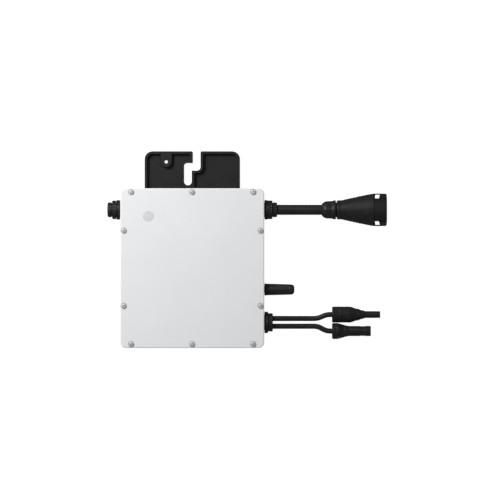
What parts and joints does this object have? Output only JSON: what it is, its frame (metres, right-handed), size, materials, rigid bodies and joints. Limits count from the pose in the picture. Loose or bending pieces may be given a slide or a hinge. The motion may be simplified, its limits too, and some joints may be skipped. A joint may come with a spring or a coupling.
{
  "type": "micro inverter",
  "caption": "Single-panel solar micro-inverter: flat sealed case, slotted rail bracket, capped AC port, AC coupler lead, DC module leads and stub antenna.",
  "frame": {"origin": "centre of the case's back face, which rests on a table or against the rail", "axes": "+Z out of the cover plate, +Y towards the slotted bracket, +X towards the AC and DC leads"},
  "size_m": [0.3188, 0.2243, 0.0315],
  "materials": {
    "cast_black": "satin black powder coat over a casting",
    "plate_grey": "light grey, fine blasted and anodised",
    "gasket_black": "matt silicone",
    "steel": "bright zinc or stainless",
    "lens_grey": "translucent grey",
    "moulded_black": "fine moulded texture",
    "antenna_black": "soft satin",
    "cable_jacket": "satin extruded jacket",
    "board_green": "solder mask",
    "pad_grey": "soft gap filler",
    "ferrite": "ground ferrite",
    "winding_tape": "amber tape over copper turns",
    "enamelled_copper": "varnished copper wire",
    "capacitor_sleeve": "shrink sleeve",
    "film_yellow": "smooth box",
    "relay_bobbin": "moulded",
    "relay_blue": "moulded dust cover",
    "chip_epoxy": "moulded epoxy",
    "radio_can": "tin-plated can",
    "contact_carrier": "moulded insulator",
    "tinned_copper": "tinned contact"
  },
  "bodies": {
    "inverter": {"base_tray": "cast_black", "cover_gasket": "gasket_black", "cover_plate": "plate_grey", "status_lens": "lens_grey", "cover_screw_01": "steel", "cover_screw_02": "steel", "cover_screw_03": "steel", "cover_screw_04": "steel", "cover_screw_05": "steel", "cover_screw_06": "steel", "cover_screw_07": "steel", "cover_screw_08": "steel", "cover_screw_09": "steel", "cover_screw_10": "steel", "mounting_bracket": "cast_black", "bracket_screw_1": "steel", "bracket_screw_2": "steel", "bracket_screw_3": "steel", "bracket_screw_4": "steel", "main_board": "board_green", "board_screw_1": "steel", "board_screw_2": "steel", "thermal_pad": "pad_grey", "transformer_core": "ferrite", "transformer_winding": "winding_tape", "line_choke": "enamelled_copper", "bulk_capacitor_1": "capacitor_sleeve", "bulk_capacitor_2": "capacitor_sleeve", "bulk_capacitor_3": "capacitor_sleeve", "film_capacitor": "film_yellow", "relay_frame": "relay_bobbin", "relay_cover": "relay_blue", "power_switch_1": "chip_epoxy", "power_switch_2": "chip_epoxy", "power_switch_3": "chip_epoxy", "power_switch_4": "chip_epoxy", "control_chip": "chip_epoxy", "radio_module": "radio_can", "ac_port_body": "moulded_black", "ac_port_insert": "contact_carrier", "ac_gland_body": "moulded_black", "ac_gland_nut": "moulded_black", "ac_cable": "cable_jacket", "ac_plug_nut": "moulded_black", "ac_plug_shell": "moulded_black", "ac_plug_insert": "contact_carrier", "antenna_stub": "antenna_black", "dc_gland_body": "moulded_black", "dc_gland_collar": "moulded_black", "dc_lead_positive": "cable_jacket", "dc_lead_negative": "cable_jacket", "dc_positive_nut": "moulded_black", "dc_positive_housing": "moulded_black", "dc_positive_contact": "tinned_copper", "dc_negative_nut": "moulded_black", "dc_negative_housing": "moulded_black", "dc_negative_contact": "tinned_copper"},
    "ac_cap": {"ac_cap": "moulded_black"},
    "ac_cap_ring": {"ac_cap_ring": "moulded_black"},
    "relay_armature": {"relay_armature": "steel"}
  },
  "joints": [
    {"name": "ac_cap_pull", "type": "slide", "parent": "inverter", "child": "ac_cap", "axis": [-1, 0, 0], "range_m": [0, 0.03]},
    {"name": "ac_cap_ring_turn", "type": "hinge", "parent": "ac_cap", "child": "ac_cap_ring", "pos_m": [-0.089, 0.0665, 0.015], "axis": [-1, 0, 0], "range_deg": [0, 90]},
    {"name": "relay_armature_tip", "type": "hinge", "parent": "inverter", "child": "relay_armature", "pos_m": [0.0302, 0.06, 0.0211], "axis": [0, 1, 0], "range_deg": [0, 4]}
  ]
}
